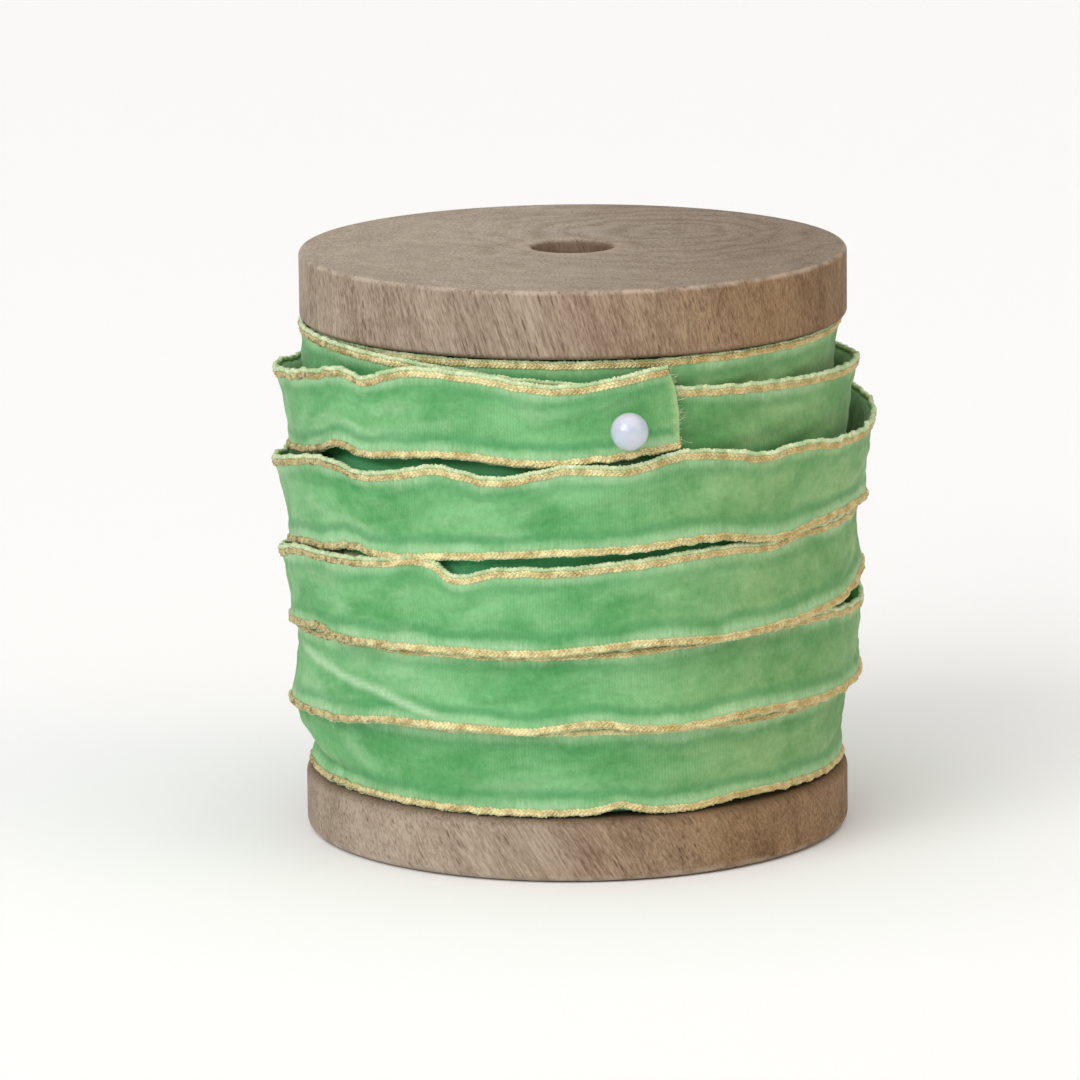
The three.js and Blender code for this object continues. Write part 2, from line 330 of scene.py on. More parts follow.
def wood_grain():
    """Hardwood whose grain runs along the coordinate's Z: broad bands, faint growth rings round an axis,
    fibre lines, and dark pores that are dots across the grain and short streaks along it."""
    group, inside, outside = new_group(
        "wood_grain",
        {"Vector": ("Vector", None), "Light": ("Color", (0.4, 0.3, 0.2, 1)),
         "Dark": ("Color", (0.2, 0.1, 0.1, 1)), "Pore": ("Color", (0.1, 0.05, 0.03, 1)),
         "Bands": ("Float", 0.5), "Rings": ("Float", 0.3), "Fibres": ("Float", 0.8), "Pores": ("Float", 1.0)},
        {"Colour": "Color", "Roughness": "Float", "Height": "Float"},
    )
    given = inside.outputs
    at = given["Vector"]

    def drawn_out(share, shift=(0, 0, 0)):
        """Coordinates that draw a pattern out along the grain."""
        return scaled(at, (1, 1, share), shift=shift)

    # broad bands and growth rings
    cloud = noise(drawn_out(0.22), 62.0, detail=3.0, roughness=0.55, distortion=0.3)
    band = noise(drawn_out(0.1, (0.2, 0.5, 0.1)), 230.0, detail=3.0, roughness=0.6)
    broad = times(step(band, 0.3, 0.7), 0.55)
    broad = times_plus(step(cloud, 0.3, 0.72), 0.45, broad)
    flat = add("VectorMath", {0: at, 1: (1, 1, 0)}, operation="MULTIPLY").outputs[0]
    reach = add("VectorMath", {0: flat}, operation="LENGTH").outputs["Value"]
    phase = times_plus(reach, 1150.0, times(cloud, 22.0))
    ring = times_plus(calc("SINE", phase), 0.5, 0.5)
    ring = times(calc("POWER", ring, 2.2), given["Rings"])
    ring = times(ring, step(reach, 0.012, 0.045, 1.0, 0.3))

    # fibres
    fibre = noise(drawn_out(0.05), 2300.0, detail=3.0, roughness=0.7)
    fleck = noise(drawn_out(0.22, (0.7, 0.2, 0.4)), 4200.0, detail=2.0, roughness=0.6)
    fine = times_plus(fibre, 0.62, times(fleck, 0.38))
    fine = times(calc("SUBTRACT", fine, 0.5), times(given["Fibres"], 2.4))
    share = times_plus(calc("SUBTRACT", broad, 0.5), given["Bands"], 0.42)
    share = calc("ADD", calc("ADD", share, fine), ring, clamp=True)
    colour = mix(share, given["Light"], given["Dark"])

    # pores
    cells = add("TexVoronoi", {"Vector": drawn_out(0.11), "Scale": 1500.0})
    small = add("TexVoronoi", {"Vector": drawn_out(0.16, (0.3, 0.1, 0.2)), "Scale": 2600.0})
    patch = step(noise(drawn_out(0.2), 190.0, detail=2.0), 0.4, 0.64)
    pore = step(cells.outputs["Distance"], 0.1, 0.34, 1.0, 0.0)
    pore = times(pore, times_plus(patch, 0.8, 0.2))
    speck = times(step(small.outputs["Distance"], 0.1, 0.36, 1.0, 0.0), 0.5)
    pore = calc("MAXIMUM", pore, speck)
    shown = calc("MULTIPLY", pore, given["Pores"], clamp=True)
    tree.links.new(mix(shown, colour, given["Pore"]), outside.inputs["Colour"])
    tree.links.new(times_plus(shown, 0.12, 0.72), outside.inputs["Roughness"])
    tree.links.new(times_plus(pore, -1.0, fine), outside.inputs["Height"])
    return group


FUZZ = fibre_fuzz()
GRAIN = wood_grain()


def fuzzed(at, scale, stretch, colour, contrast):
    """A colour under fine fibres, and the fibres' height."""
    values = {"Vector": at, "Scale": scale, "Stretch": stretch, "Colour": colour, "Contrast": contrast}
    node = add("Group", values, node_tree=FUZZ)
    return node.outputs["Colour"], node.outputs["Height"]


# -------------------------------- finishes


def wood_finish(name, slant, pith, shift, brown=1.0):
    """Bare wood. slant leans the grain, in degrees about Y, and pith is a point that the rings centre on, in
    mm. Its face is greyer than its rim and its edges are rubbed pale. Its rim and face are darker and browner
    to the right, which is painted warm shade scaled by brown, and its bore and the shoulder beside the ribbon
    are darkened with painted shade."""
    material, shader = new_material(name, Roughness=0.75, Specular_IOR_Level=0.22)
    at = object_at()
    lean = Euler((math.radians(4), math.radians(slant), 0))
    centre = lean.to_matrix() @ (Vector(pith) * MM)
    grain_at = scaled(at, (1, 1, 1), turn=lean, shift=(-centre.x, -centre.y, shift))
    # painted warm shade: side grows towards the right, where the rim and face are painted darker and browner
    place = times_plus(noise(at, 45.0, detail=2.0), 0.02, to_the_right())
    side = times(step(place, -0.008, 0.045), brown)
    face = marked("turned_face")

    def tone(rim_left, rim_right, face_left, face_right):
        """A colour of the rim and of the face, each from its left to its right, where the darker colour is
        painted warm shade.
        """
        rim = mix(side, rgb(*rim_left), rgb(*rim_right))
        return mix(face, rim, mix(side, rgb(*face_left), rgb(*face_right)))

    grain = add("Group", {
        "Vector": grain_at, "Pore": rgb(84, 62, 46), "Rings": 0.26, "Fibres": 1.3, "Pores": 0.75,
        "Light": tone((180, 164, 146), (160, 130, 98), (188, 176, 160), (162, 147, 130)),
        "Dark": tone((126, 107, 88), (100, 73, 48), (132, 116, 99), (104, 89, 74)),
        "Bands": step(face, 0.0, 1.0, 0.62, 0.3),
    }, node_tree=GRAIN)
    rub = times(marked("edge_wear"), step(noise(at, 320.0, detail=3.0), 0.4, 0.62))
    colour = mix(times(rub, 0.4), grain.outputs["Colour"], rgb(206, 190, 170))
    # painted shade: darker in the bore and on the flange's shoulder beside the ribbon
    colour = mix(times(marked("recess_shade"), 0.72), colour, rgb(84, 62, 44))
    finish(shader, colour, grain.outputs["Height"], 0.5, 0.0001, grain.outputs["Roughness"])
    return material


def velvet_finish(name):
    """Short-pile velvet. Its pile lies in soft light and dark patches, fine ribs run across it, and inside
    each edge is a pale rubbed border with a deeper line beside it. A crease and the cut end are pale too. Its
    pile is painted more olive to the right as warm shade, its pale patches are stronger to the left as
    painted sheen, and the velvet in the gaps between turns is brighter and greener as painted light."""
    material, shader = new_material(
        name, Roughness=0.92, Specular_IOR_Level=0.1, Sheen_Weight=0.42, Sheen_Roughness=0.3,
        Sheen_Tint=(0.92, 0.95, 0.78, 1),
    )
    at, x = ribbon_at(), to_the_right()
    split = add("SeparateXYZ", {"Vector": at})
    along, across = split.outputs["X"], split.outputs["Y"]
    patches = ribbon_noise(at, (0.6, 0.95), distortion=0.5)
    brushed = ribbon_noise(at, (2.3, 2.4), (3, 7))
    crumbs = ribbon_noise(at, (8.0, 9.0), (1, 2), detail=3.0, roughness=0.6)
    wander = ribbon_noise(at, (1.1, 0.6), (9, 4), detail=3.0)
    needles = ribbon_noise(at, (21.0, 2.4), (5, 5), detail=3.0, roughness=0.7)
    bloom = ribbon_noise(at, (0.5, 1.5), (6, 2), detail=3.0, roughness=0.6)
    threads = ribbon_noise(at, (3.0, 22.0), (2, 8), roughness=0.6)

    # the pile, painted more olive to the right as warm shade
    tone = times_plus(patches, 0.55, times(brushed, 0.27))
    tone = step(times_plus(crumbs, 0.18, tone), 0.32, 0.68)
    colour = mix(tone, rgb(84, 155, 92), rgb(130, 191, 132))
    olive = mix(1.0, colour, (1.32, 0.93, 0.96, 1), "MULTIPLY")
    colour = mix(step(x, -0.004, 0.034), colour, olive)
    # pale patches of pile, made stronger towards the left as painted sheen
    bloom = times(step(bloom, 0.48, 0.72), step(x, -0.03, 0.02, 0.5, 0.16))
    colour = mix(bloom, colour, rgb(168, 206, 162))

    # ribs, in patches
    rib_bend = times(ribbon_noise(at, (1.0, 2.2)), 11.0)
    rib = calc("SINE", times_plus(along, 122.0, rib_bend))
    rib = times_plus(rib, 0.5, 0.5)
    rib_patch = step(ribbon_noise(at, (0.5, 1.2), (5, 1)), 0.4, 0.62, 0.1, 1.0)
    rib = times(rib, times(rib_patch, step(needles, 0.2, 0.6, 0.4, 1.0)))
    colour = mix(times(rib, 0.24), colour, rgb(74, 140, 82))

    # the deeper line and the pale border along each edge
    edge = calc("ADD", calc("ABSOLUTE", across), times_plus(wander, 0.2, -0.1))
    line = times(step(edge, 0.24, 0.37), step(edge, 0.4, 0.5, 1.0, 0.0))
    line = times(line, step(across, -0.15, 0.15, 1.0, 0.5))
    line = times(line, step(patches, 0.3, 0.6, 0.4, 1.0))
    colour = mix(times(line, 0.5), colour, rgb(64, 138, 88))
    frost = step(calc("ADD", edge, times_plus(needles, 0.14, -0.07)), 0.4, 0.6)
    frost = times(frost, step(needles, 0.25, 0.65, 0.72, 1.0))
    frost = times(frost, step(wander, 0.3, 0.62, 0.4, 0.72))
    rubbed = calc("MAXIMUM", frost, times(marked("crease"), 0.9))
    colour = mix(rubbed, colour, rgb(176, 213, 170))

    # painted light in the gaps between turns, and the frayed cut
    # painted light: velvet in the gaps between turns is brighter and greener
    colour = mix(times(marked("gap_light"), 0.75), colour, rgb(100, 205, 138))
    frayed = step(times_plus(threads, 0.16, along), 0.1, 0.24, 1.0, 0.0)
    colour = mix(times(frayed, 0.7), colour, rgb(166, 197, 140))
    colour, height = fuzzed(at, 38.0, 0.7, colour, 0.17)
    height = times_plus(brushed, 1.2, times_plus(rib, 0.3, height))
    finish(shader, colour, height, 0.5, 0.0002)
    return material


def yarn_finish(name, base, deep, metallic, roughness, contrast, flecked_and_side_shaded=False):
    """Twisted yarn: fine plies round each strand, with dull and bright lengths. A flecked and side-shaded one
    has brown flecks, with painted shade: it turns a warm ochre towards the right of the spool, and its flecks
    thicken and it dulls to brown towards the left."""
    material, shader = new_material(
        name, Metallic=metallic, Specular_IOR_Level=0.4, Sheen_Weight=0.15)
    at = object_at()
    split = add("SeparateXYZ", {"Vector": ribbon_at()})
    ply = times_plus(split.outputs["X"], 160.0, times(split.outputs["Y"], TAU * 2))
    ply = times_plus(calc("SINE", ply), 0.5, 0.5)
    dull = noise(at, 420.0, detail=3.0, roughness=0.6)
    share = times_plus(ply, 0.35, step(dull, 0.3, 0.72), clamp=True)
    colour = mix(share, deep, base)
    if flecked_and_side_shaded:
        # painted shade: warm ochre towards the right, and browner flecks and a dull brown towards the left
        x = to_the_right()
        left, right = step(x, -0.043, -0.024, 1.0, 0.0), step(x, 0.0, 0.03)
        fleck = step(noise(at, 900.0, detail=2.0, roughness=0.7), 0.48, 0.66)
        colour = mix(times(right, 0.4), colour, rgb(186, 152, 78))
        brown = times(times_plus(left, 0.7, 0.2), fleck)
        colour = mix(brown, colour, rgb(96, 74, 34))
        colour = mix(times(left, 0.42), colour, rgb(150, 132, 82))
    colour, height = fuzzed(at, 3800.0, 1.0, colour, contrast)
    finish(shader, colour, times_plus(ply, 0.8, height), 0.5, 0.00008,
           times_plus(dull, 0.25, roughness))
    return material


def pearl_finish():
    """Pearl lustre: a milky white that turns between blue and lilac in soft clouds, under a clear coat."""
    material, shader = new_material(
        "pearl_lustre", Roughness=0.24, Specular_IOR_Level=0.5, Coat_Weight=0.8, Coat_Roughness=0.06,
        Sheen_Weight=0.1,
    )
    at = object_at()
    cloud = step(noise(at, 210.0, detail=2.0), 0.35, 0.65)
    colour = mix(cloud, rgb(186, 200, 216), rgb(206, 205, 220))
    finish(shader, *fuzzed(at, 900.0, 1.0, colour, 0.03), 0.15, 0.00003)
    return material


def steel_finish():
    """Drawn pin wire with fine scratches along it."""
    material, shader = new_material("pin_wire", Metallic=1.0)
    colour, height = fuzzed(object_at(), 2500.0, 0.1, rgb(205, 206, 210), 0.1)
    finish(shader, colour, height, 0.2, 0.00002, times_plus(height, 0.2, 0.15))
    return material


def paper_finish():
    """Crepe paper tape."""
    material, shader = new_material("paper_tape", Roughness=0.85)
    finish(shader, *fuzzed(object_at(), 700.0, 0.3, rgb(216, 203, 166), 0.15), 0.4, 0.0001)
    return material


UPPER_WOOD = wood_finish("upper_flange_wood", 17, (15, 13, SPOOL_HEIGHT), 0.31)
LOWER_WOOD = wood_finish("lower_flange_wood", 32, (-12, 20, 0), 0.77, brown=1.1)
BARREL_WOOD = wood_finish("barrel_wood", 3, (3, 4, 0), 0.15)
VELVET = velvet_finish("green_velvet")
GOLD = yarn_finish("gold_yarn", rgb(246, 236, 182), rgb(190, 166, 98), 0.1, 0.36, 0.3, flecked_and_side_shaded=True)
SELVEDGE = yarn_finish("selvedge_yarn", rgb(214, 226, 182), rgb(158, 192, 136), 0.0, 0.8, 0.35)
PEARL = pearl_finish()
STEEL = steel_finish()
PAPER = paper_finish()


# -------------------------------- the wooden spool


def flange_profile(thickness, outer_round, inner_round):
    """The flange's section, outer face down at height 0, and how far each point is worn edge, flat face and
    darkened with painted shade, as the bore and the shoulder beside the ribbon are."""
    socket, floor, mouth = 13.1, thickness - 5.1, 0.8
    rim = FLANGE_RADIUS
    half_round = np.sin(np.linspace(0, math.pi, 11)).tolist()
    parts = [  # points, wear, face, bore and shoulder painted shade
        ([(BORE_RADIUS, floor), (BORE_RADIUS, 3), (BORE_RADIUS, mouth)], [0, 0, 0.3], 0, 1),
        (arc((BORE_RADIUS + mouth, mouth), mouth, 180, 270, 5), [0.9] * 6, 0.5, [1, 0.9, 0.7, 0.4, 0.2, 0]),
        (np.linspace((10, 0), (rim - outer_round - 1.5, 0), 8), [0] * 8, 1, 0),
        (arc((rim - outer_round, outer_round), outer_round, -90, 0, 10), half_round,
         np.linspace(1, 0, 11), 0),
        (arc((rim - inner_round, thickness - inner_round), inner_round, 0, 90, 10), [0] * 11, 0,
         np.linspace(-0.1, 1.3, 11).clip(0, 0.9)),
        (np.linspace((rim - inner_round - 5, thickness), (socket, thickness), 5), [0] * 5, 0.5, 0.9),
        ([(socket, floor), (BORE_RADIUS, floor)], [0, 0], 0, 0.5),
    ]
    marks = {"edge_wear": [], "turned_face": [], "recess_shade": []}
    for points, *values in parts:
        for key, value in zip(marks, values):
            marks[key] += np.broadcast_to(value, len(points)).tolist()
    return np.concatenate([np.array(points, dtype=float) for points, *_ in parts]), marks


def make_flange(name, node, material, flip, outer_round, inner_round):
    """A flange in its node's place, flipped where its outer face is up."""
    low, high = corners_mm(node)
    profile, marks = flange_profile(high[2] - low[2], outer_round, inner_round)
    piece = turned(name, profile, material, segments=256, wobble=0.08, marks=marks)
    if flip:
        up = Matrix.Translation((0, 0, SPOOL_HEIGHT * MM))
        piece.data.transform(up @ Matrix.Rotation(math.pi, 4, "X"))
    stand_in(piece, node, "spool")


make_flange("upper_flange_turned", "top_flange", UPPER_WOOD, True, 0.8, 0.9)
make_flange("lower_flange_turned", "bottom_flange", LOWER_WOOD, False, 1.4, 1.7)

spigot, shoulder = 13.0, 19.0
bore = np.linspace((BORE_RADIUS, BARREL_HIGH[2]), (BORE_RADIUS, BARREL_LOW[2]), 24)
barrel_profile = [
    (BORE_RADIUS, BARREL_LOW[2]), (spigot, BARREL_LOW[2]), (spigot, BASE_TOP), (shoulder, BASE_TOP),
    (shoulder, LID_UNDERSIDE), (spigot, LID_UNDERSIDE), (spigot, BARREL_HIGH[2]), *bore.tolist(),
]
# the barrel's bore is marked for painted shade
barrel = turned("bored_barrel", barrel_profile, BARREL_WOOD, segments=96,
                marks={"recess_shade": np.array(barrel_profile)[:, 0] < BORE_RADIUS + 0.1})
stand_in(barrel, "barrel", "spool")

tape = frame["nodes"]["starting_tape"]
for material_slot in tape.material_slots:
    material_slot.material = PAPER


# -------------------------------- how the ribbon lies


def through(stations, at):
    """A smooth line through stations: a cubic between each pair, level with the slope from the station
    before to the one after."""
    x, y = np.array(stations, dtype=float).T
    slope = np.gradient(y, x)
    i = np.clip(np.searchsorted(x, at) - 1, 0, len(x) - 2)
    width = x[i + 1] - x[i]
    t = np.clip((at - x[i]) / width, 0, 1)
    return (
        (2 * t**3 - 3 * t**2 + 1) * y[i] + (t**3 - 2 * t**2 + t) * width * slope[i]
        + (3 * t**2 - 2 * t**3) * y[i + 1] + (t**3 - t**2) * width * slope[i + 1]
    )


# Heights of the outer layer's two edges, one row for each turn from the top down: pairs of the angle to
# the right of the front, in degrees, and the height.
UPPER_HEIGHTS = (
    ((-100, 74.8), (-82, 76.1), (-63, 78.4), (-51, 80.0), (-45, 79.2), (-40, 80.5), (-34, 81.6),
     (-20, 81.4), (-9, 80.1), (5, 80.3), (12, 81.5), (18, 82.4), (30, 83)),
    ((-110, 59.4), (-88, 60.6), (-72, 63.2), (-53, 65.0), (-46, 64.0), (-38, 64.9), (-28, 66.4),
     (-14, 65.2), (-3, 67.1), (12, 67.2), (23, 69.0), (31, 68.3), (39, 67.1), (48, 67.7), (64, 66.6),
     (80, 66.8), (100, 67.9), (125, 68.6)),
    ((-110, 43.4), (-88, 45.6), (-68, 49.0), (-55, 49.4), (-42, 50.4), (-28, 50.9), (-24.5, 49.3),
     (-16, 50.5), (-2, 50.9), (14, 52.0), (25, 52.6), (33, 52.9), (40, 52.3), (50, 53.2), (66, 53.0),
     (90, 53.2)),
    ((-80, 34.6), (-55, 36.0), (-20, 36.9), (10, 37.6), (40, 38.9), (57, 38.8), (68, 38.1), (78, 37.4),
     (90, 37.2)),
    ((-270, 26.4), (-180, 24.4), (-85, 23.9), (-40, 24.4), (-15, 24.8), (5, 24.8), (50, 24.4),
     (90, 24.6)),
)
LOWER_HEIGHTS = (
    ((-100, 62.6), (-78, 64.4), (-63, 66.2), (-54, 68.2), (-47, 67.4), (-36, 68.3), (-25, 68.9),
     (-4, 68.1), (6, 68.9), (20, 70.2), (30, 70.9)),
    ((-105, 46.4), (-88, 47.6), (-68, 50.4), (-58, 51.0), (-50, 52.3), (-43, 51.8), (-25, 52.8),
     (-8, 53.9), (14, 54.6), (29, 55.3), (40, 53.9), (60, 55.0), (76, 55.0), (92, 54.0)),
    ((-100, 34.2), (-82, 35.2), (-73, 36.3), (-66, 36.9), (-61, 37.5), (-57, 36.8), (-50, 36.9),
     (-30, 37.6), (-6, 37.9), (12, 39.2), (32, 39.0), (50, 39.9), (66, 40.8), (80, 42.6), (95, 42.9)),
    ((-100, 20.6), (-88, 21.0), (-80, 21.7), (-73, 22.2), (-63, 22.8), (-54, 23.3), (-41, 24.8),
     (-24, 25.3), (-8, 25.2), (4, 26.4), (14, 25.2), (38, 26.0), (60, 25.4), (85, 25.6), (105, 25.4)),
    ((-270, 13.8), (-180, 11.6), (-80, 11.0), (-41, 11.1), (-12, 11.2), (4, 11.6), (9.5, 12.4),
     (13, 11.7), (40, 12.0), (60, 11.5), (85, 11.1)),
)
# The radii of the upper and the lower edge by turn angle. The edges flare where the ribbon stands away.
EDGE_RADII = (
    (-90, 45.4, 45.7), (-20, 45.6, 45.8), (0, 45.6, 45.9), (40, 46.4, 46.0), (90, 48.2, 46.2),
    (135, 48.6, 46.6), (180, 49.2, 47.2), (255, 48.9, 47.3), (285, 48.3, 47.2), (330, 47.0, 47.1),
    (360, 46.8, 47.1), (400, 47.2, 46.8), (450, 48.6, 46.3), (540, 46.9, 46.2), (630, 45.7, 46.7),
    (660, 46.0, 47.1), (720, 46.6, 47.1), (765, 47.0, 46.8), (810, 47.8, 46.4), (900, 46.5, 46.8),
    (990, 46.6, 46.3), (1020, 46.2, 46.5), (1040, 45.4, 46.6), (1080, 45.3, 46.7), (1140, 45.0, 46.5),
    (1170, 45.3, 46.5), (1260, 45.1, 45.6), (1350, 44.5, 43.2), (1440, 44.4, 43.3), (1490, 44.4, 43.2),
    (1522, 45.0, 43.2), (1620, 43.4, 42.4), (1710, 43.1, 42.3),
)
# The second layer winds the other way, and its first turn shows above the outer layer.
SECOND_HEIGHTS = (
    (-990, 30.0), (-900, 33.4), (-810, 36.9), (-720, 40.6), (-630, 44.4), (-540, 48.0), (-450, 51.3),
    (-360, 54.2), (-325, 55.3), (-270, 58.4), (-180, 64.6), (-115, 68.6), (-77, 70.1), (-57, 70.8),
    (-22, 72.1), (10, 74.0), (38, 75.9), (63, 76.6), (95, 76.75),
)


def by_turn(rows):
    """The stations of every turn in one list, from the cut end onwards."""
    return sorted((360 * i - angle, height) for i, row in enumerate(rows) for angle, height in row)


UPPER_BY_TURN, LOWER_BY_TURN = by_turn(UPPER_HEIGHTS), by_turn(LOWER_HEIGHTS)


def rippled(turn, seed, count, height):
    """A fixed sum of a few waves along the ribbon, from 4 to 30 degrees long."""
    random = np.random.default_rng(seed)
    waves = random.uniform(12, 90, count)
    phases = random.uniform(0, TAU, count)
    angle = np.radians(turn)
    return height * sum(np.cos(w * angle + p) for w, p in zip(waves, phases)) / math.sqrt(count)


def outer_edges(turn):
    """Heights and radii of the outer layer's edges, with ripples that grow towards the back."""
    away = 0.5 - 0.5 * np.cos(np.radians(turn))
    upper = through(UPPER_BY_TURN, turn) + rippled(turn, 11, 7, 0.1)
    upper += away * rippled(turn, 12, 3, 0.35)
    lower = through(LOWER_BY_TURN, turn) + rippled(turn, 13, 7, 0.08)
    lower += away * rippled(turn, 14, 3, 0.3)
    angles, tops, lows = np.array(EDGE_RADII, dtype=float).T
    r_upper = through(list(zip(angles, tops)), turn) + rippled(turn, 15, 6, 0.1)
    r_lower = through(list(zip(angles, lows)), turn) + rippled(turn, 16, 6, 0.06)
    return lower, upper, r_lower, r_upper


def second_edges(turn):
    """Heights and radii of the second layer's edges. The upper one flares at the right of the first turn."""
    middle = through(SECOND_HEIGHTS, turn)
    ripple = rippled(turn, 21, 5, 0.08)
    flare = np.exp(-(((turn + 100) / 40) ** 2)) * 2.0
    radius = 44.0 + 0 * turn
    return middle - EDGE_HALF_WIDTH, middle + EDGE_HALF_WIDTH + ripple, radius, radius + flare + ripple


def third_edges(turn):
    """Heights and radii of the third layer, which lies level under the upper flange. It leaves from the end
    of the second layer and eases down to its own radius in a smooth step."""
    share = np.clip((turn - SECOND_END_TURN) / 35, 0, 1)
    settled = share**2 * (3 - 2 * share)
    lower, upper, r_lower, r_upper = second_edges(SECOND_END_TURN + 0 * turn)
    ripple = rippled(turn, 31, 5, 0.08)
    ends = ((lower, 70.6), (upper, 83.4 + ripple), (r_lower, 41.8), (r_upper, 42.9 + ripple))
    return tuple(start + settled * (end - start) for start, end in ends)


def lay(edges, turn, across, sag, seed=1):
    """Points of the ribbon's middle surface, from a column of turn angles and a row of places across.
    Height and radius run straight from the lower edge to the upper one. The middle is pulled in by sag, and
    soft wrinkles run across near the stitched edges. The outer layer also lifts in a bell round the pearl
    and along its crease, and has a fold."""
    turn, a = np.broadcast_arrays(turn, across)
    lower, upper, r_lower, r_upper = edges(turn)
    z = (lower + upper) / 2 + a * (upper - lower) / 2
    r = (r_lower + r_upper) / 2 + a * (r_upper - r_lower) / 2 - sag * (1 - np.abs(a) ** 2.4)
    r = r + rippled(turn, seed, 9, 0.12) * np.abs(a) ** 3
    r = r + rippled(turn / 4 + 9 * a, seed + 50, 5, 0.16) * (1 - a**2)
    angle = np.radians(turn)
    points = np.stack([-r * np.sin(angle), -r * np.cos(angle), z], axis=-1)
    if edges is outer_edges:
        from_pearl = np.linalg.norm(points - PEARL_FOOT, axis=-1)
        lift = 0.75 * np.exp(-((from_pearl / 4.5) ** 2)) + 0.2 * crease_mark(turn, a) + fold_depth(turn, a)
        points = points + lift[..., None] * np.stack([-np.sin(angle), -np.cos(angle), 0 * angle], axis=-1)
    return points


def crease_mark(turn, a):
    """A crease that runs slantwise down one turn of the outer layer, as a ridge from 0 to 1."""
    line = np.interp(turn, (1100, 1108, 1122, 1133, 1144, 1160), (-1.0, -0.82, -0.3, 0.03, 0.28, 0.6))
    fade = np.clip((turn - 1101) / 9, 0, 1) * np.clip((1165 - turn) / 16, 0, 1)
    return fade * np.exp(-(((a - line) / 0.11) ** 2))


def fold_depth(turn, a):
    """How far the lowest turn stands out at the left, in mm: a swelling under the turn above, and below it
    a valley that runs down to the right, each a bell across a line on the ribbon."""
    near = np.exp(-(((turn - 1526) / 20) ** 2))
    valley = np.interp(turn, (1470, 1500, 1520, 1560), (-0.95, -0.72, -0.5, -0.4))
    swell = 1.5 * near * np.exp(-(((a - valley - 0.75) / 0.5) ** 2))
    reach = np.clip((turn - 1462) / 40, 0, 1) * np.clip((1575 - turn) / 30, 0, 1)
    return swell - 1.1 * reach * np.exp(-(((a - valley) / 0.24) ** 2))


def unit(v):
    """Directions brought to length one."""
    return v / np.linalg.norm(v, axis=-1, keepdims=True)


def along_lengths(points):
    """Distance along a line of points, from its first."""
    return np.concatenate([[0], np.cumsum(np.linalg.norm(np.diff(points, axis=0), axis=1))])


def web(name, surface, tangent, start_length, marks):
    """The velvet: the middle surface with half its thickness added to each side along its normal, thinner
    towards the edges, closed round its section and at both ends."""
    rows, columns = surface.shape[:2]
    normal = unit(np.cross(np.gradient(surface, axis=1), tangent))
    normal = normal * np.sign(np.sum(normal[..., :2] * surface[..., :2], axis=-1, keepdims=True))
    a = np.linspace(-1, 1, columns)
    half = WEB_THICKNESS / 2 * (1 - 0.55 * np.abs(a) ** 8)[None, :, None]
    section = np.concatenate([surface + half * normal, (surface - half * normal)[:, ::-1]], axis=1)
    length = start_length + along_lengths(surface[:, columns // 2])
    u = np.repeat(length[:, None] / 10, 2 * columns, axis=1)
    v = np.repeat(np.concatenate([a, a[::-1]])[None, :] * EDGE_HALF_WIDTH / 10, rows, axis=0)
    faces = grid_faces(rows, 2 * columns, wrap_columns=True)[:, ::-1].tolist()
    c = np.arange(columns - 1)
    cap = np.stack([c, c + 1, 2 * columns - 2 - c, 2 * columns - 1 - c], axis=1)
    last = (rows - 1) * 2 * columns
    flat = range(len(faces), len(faces) + 2 * len(cap))
    faces += cap.tolist() + (cap[:, ::-1] + last).tolist()
    marks = {key: np.concatenate([value, value[:, ::-1]], axis=1) for key, value in marks.items()}
    pairs = np.stack([u, v], axis=-1)
    return make_piece(name, section, faces, VELVET, uv=pairs, attributes=marks, flat=flat)


def tubes(name, lines, references, radius, sides, material):
    """Round strands along lines. Each section stands square to its line, turned so that its first corner
    looks along the reference direction, and each end is closed. radius is one number, or one for each
    point."""
    points, faces, uvs, flat, start = [], [], [], [], 0
    for line, reference in zip(lines, references):
        n = len(line)
        tangent = unit(np.gradient(line, axis=0))
        first = unit(reference - np.sum(reference * tangent, axis=-1, keepdims=True) * tangent)
        second = np.cross(tangent, first)
        angle = np.arange(sides) * TAU / sides
        ring = np.cos(angle)[None, :, None] * first[:, None] + np.sin(angle)[None, :, None] * second[:, None]
        thick = np.broadcast_to(radius, n)[:, None, None]
        points.append((line[:, None] + thick * ring).reshape(-1, 3))
        faces += grid_faces(n, sides, wrap_columns=True, start=start)[:, ::-1].tolist()
        flat += [len(faces), len(faces) + 1]
        faces.append([start + i for i in range(sides)])
        faces.append([start + (n - 1) * sides + i for i in reversed(range(sides))])
        pairs = np.broadcast_arrays(along_lengths(line)[:, None] / 10, (angle / TAU)[None, :])
        uvs.append(np.stack(pairs, axis=-1).reshape(-1, 2))
        start += n * sides
    return make_piece(name, np.concatenate(points), faces, material, uv=np.concatenate(uvs), flat=flat)


def firm_ends(steps, close=0.02):
    """The steps with one more close to each end, so that the shading turns sharply there."""
    return np.concatenate([[steps[0], steps[0] + close], steps[1:-1], [steps[-1] - close, steps[-1]]])


def steps_between(first, last, spacing):
    """How many steps of about this spacing the winding takes between two turn angles."""
    return int(abs(last - first) / 360 * TAU * WINDING_RADIUS / spacing)


def edge_line(edges, first, last, side, spacing, seed, sag):
    """The line of one edge, with the directions across the ribbon and out of it, at even steps of length."""
    turn = np.linspace(first, last, steps_between(first, last, 0.3))[:, None]
    pair = lay(edges, turn, np.array([[side * 0.9, side * 1.0]]), sag, seed)
    line = pair[:, 1]
    length = along_lengths(line)
    even = np.linspace(0, length[-1], int(length[-1] / spacing) + 1)
    across = unit(pair[:, 1] - pair[:, 0])
    tangent = unit(np.gradient(line, axis=0))
    out = unit(np.cross(across, tangent))
    out *= np.sign(np.sum(out[:, :2] * line[:, :2], axis=1))[:, None]

    def even_of(values):
        return np.stack([np.interp(even, length, values[:, k]) for k in range(3)], axis=-1)

    return even_of(line), unit(even_of(across)), unit(even_of(out)), even


